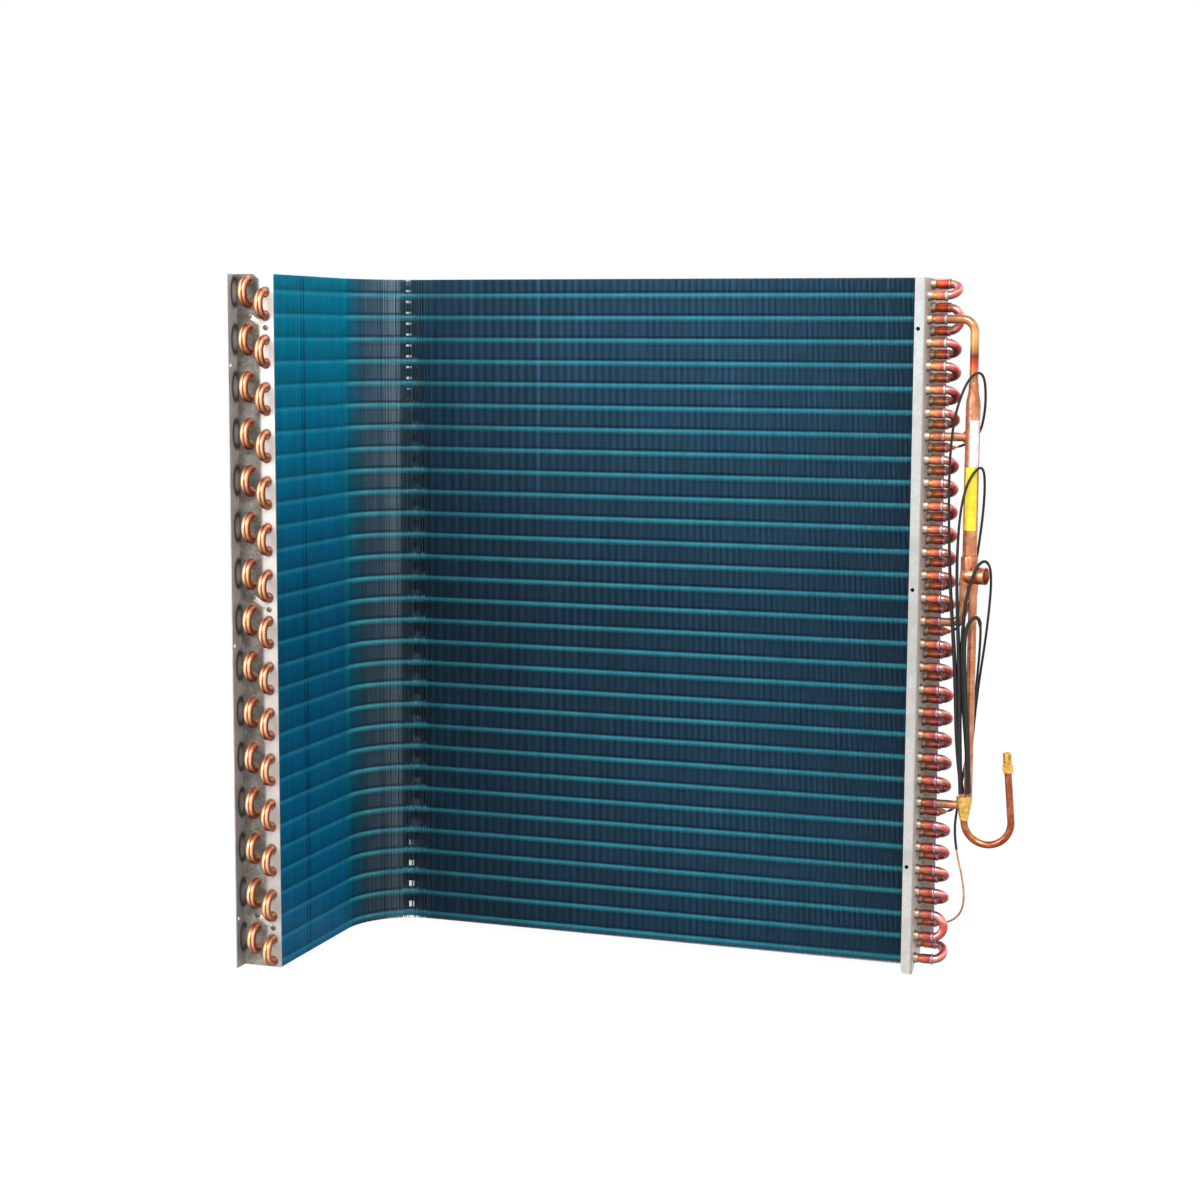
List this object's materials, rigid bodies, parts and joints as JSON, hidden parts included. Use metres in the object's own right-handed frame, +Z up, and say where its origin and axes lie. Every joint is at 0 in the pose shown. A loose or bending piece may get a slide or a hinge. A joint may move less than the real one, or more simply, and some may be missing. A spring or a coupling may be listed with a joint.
{
  "type": "condenser coil",
  "caption": "L-shaped finned-tube condenser coil with folded end sheets, copper hairpins and return bends, gas header, brass distributor and sleeved capillary tubes.",
  "frame": {"origin": "middle of the whole coil in plan, level with the foot of the right-hand end sheet", "axes": "+X along the long leg towards the pipework, +Y to the convex side, +Z up"},
  "size_m": [0.8141, 0.3134, 0.771],
  "materials": {
    "fin_coating": "thin aluminium fins with a blue-green corrosion coating, satin",
    "galvanised_sheet": "galvanised steel sheet, mottled satin",
    "copper": "drawn copper tube, satin with heat tints near the joints",
    "brazed_copper": "copper reddened by brazing, glossy",
    "strap_steel": "plated steel strap and rivets",
    "brass": "turned brass, satin",
    "black_sleeve": "black heat-shrink sleeve, semi-gloss",
    "white_film": "bare white label film",
    "yellow_film": "bare yellow label film"
  },
  "bodies": {
    "root": {"fins_long_leg": "fin_coating", "fins_corner": "fin_coating", "fins_short_leg": "fin_coating", "tube_sheet_right": "galvanised_sheet", "tube_sheet_left": "galvanised_sheet", "hairpins_inner_row": "copper", "hairpins_outer_row": "copper", "tube_ends_inner_row": "copper", "tube_ends_outer_row": "copper", "return_bends_circuit_1": "brazed_copper", "return_bends_circuit_2": "brazed_copper", "return_bends_circuit_3": "brazed_copper", "return_bends_circuit_4": "brazed_copper", "tie_straps": "strap_steel", "strap_rivets": "strap_steel", "gas_pipe_circuit_1": "copper", "gas_pipe_circuit_3": "copper", "gas_pipe_circuit_4": "copper", "gas_header": "copper", "gas_branch_circuit_2": "copper", "gas_tee": "copper", "distributor": "brass", "liquid_pipe": "copper", "liquid_fitting": "brass", "capillary_adaptors": "copper", "white_label": "white_film", "yellow_label": "yellow_film", "capillary_1": "copper", "capillary_sleeve_1": "black_sleeve", "capillary_2": "copper", "capillary_sleeve_2": "black_sleeve", "capillary_3": "copper", "capillary_sleeve_3": "black_sleeve", "capillary_4": "copper", "capillary_sleeve_4": "black_sleeve"}
  },
  "joints": []
}
